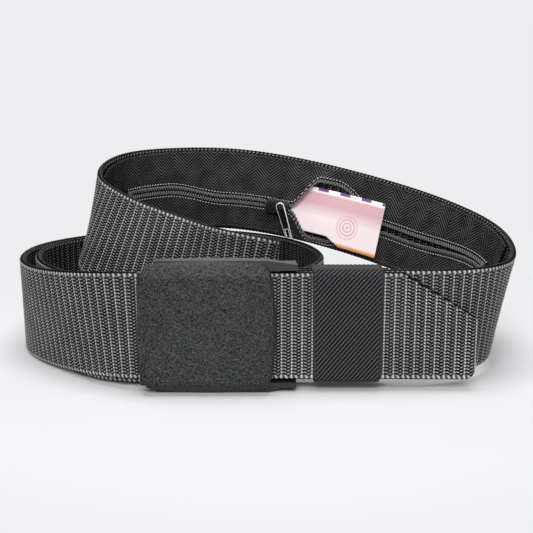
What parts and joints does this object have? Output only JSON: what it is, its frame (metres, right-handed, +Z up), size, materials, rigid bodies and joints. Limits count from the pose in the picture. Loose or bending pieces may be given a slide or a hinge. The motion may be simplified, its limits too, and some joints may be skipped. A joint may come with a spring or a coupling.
{
  "type": "money belt",
  "caption": "Coiled webbing belt with a cam buckle, an elastic keeper and a part-open zip pocket inside that holds a folded paper slip.",
  "frame": {"origin": "floor level under the middle of the whole coiled belt", "axes": "+Z up out of the floor the belt stands on; +X along the front run, from the buckle towards the strap's tip; the buckle cover faces -Y"},
  "size_m": [0.1956, 0.1346, 0.0774],
  "materials": {
    "webbing": "ribbed nylon webbing",
    "lining": "herringbone lining",
    "keeper_elastic": "twill-ribbed elastic",
    "thread": "polyester sewing thread",
    "zip_tape": "woven zip tape",
    "zip_coil": "nylon coil",
    "zip_metal": "black enamel with bright edges",
    "cover_plastic": "stippled matte",
    "buckle_plastic": "smooth satin",
    "pin_steel": "bright steel",
    "paper": "printed paper"
  },
  "bodies": {
    "belt": {"strap_right_turn": "webbing", "strap_far_run": "webbing", "strap_left_turn": "webbing", "strap_slant_run": "webbing", "strap_inner_turn": "webbing", "strap_inner_back": "webbing", "strap_inner_left": "webbing", "strap_inner_front": "webbing", "strap_middle_turn": "webbing", "strap_outer_back": "webbing", "strap_outer_left": "webbing", "strap_entry": "webbing", "strap_front": "webbing", "strap_fixed_end": "webbing", "fold_stitch_near": "thread", "fold_stitch_far": "thread", "buckle_frame": "buckle_plastic", "hinge_pin": "pin_steel", "pocket_panel_upper": "lining", "pocket_panel_lower": "lining", "edge_seam_upper": "thread", "edge_seam_lower": "thread", "zip_tape_upper": "zip_tape", "zip_tape_lower": "zip_tape", "zip_row_upper": "zip_coil", "zip_row_lower": "zip_coil", "zip_stop_left": "zip_coil", "zip_stop_right": "zip_coil"},
    "cover": {"buckle_cover": "cover_plastic"},
    "keeper": {"keeper_loop": "keeper_elastic", "keeper_seam": "thread"},
    "slider": {"zip_slider": "zip_metal"},
    "pull": {"pull_tab": "zip_metal"},
    "slip": {"paper_slip": "paper"}
  },
  "joints": [
    {"name": "cover_hinge", "type": "hinge", "parent": "belt", "child": "cover", "pos_m": [-0.0396, -0.0648, 0.023], "axis": [0, 0, -1], "range_deg": [0, 90]},
    {"name": "keeper_slide", "type": "slide", "parent": "belt", "child": "keeper", "axis": [1, 0, 0], "range_m": [-0.0025, 0.012]},
    {"name": "slider_travel", "type": "hinge", "parent": "belt", "child": "slider", "pos_m": [-0.01082, -0.01836, 0.02577], "axis": [0.1057, -0.3247, 0.9399], "range_deg": [0, 7]},
    {"name": "pull_swing", "type": "hinge", "parent": "slider", "child": "pull", "pos_m": [0.00899, 0.05799, 0.04993], "axis": [-0.1631, -0.9863, 0.0252], "range_deg": [-20, 10]},
    {"name": "slip_draw", "type": "hinge", "parent": "belt", "child": "slip", "pos_m": [-0.01746, -0.04432, 0.05414], "axis": [-0.1843, 0.0035, -0.9829], "range_deg": [0, 8]}
  ]
}
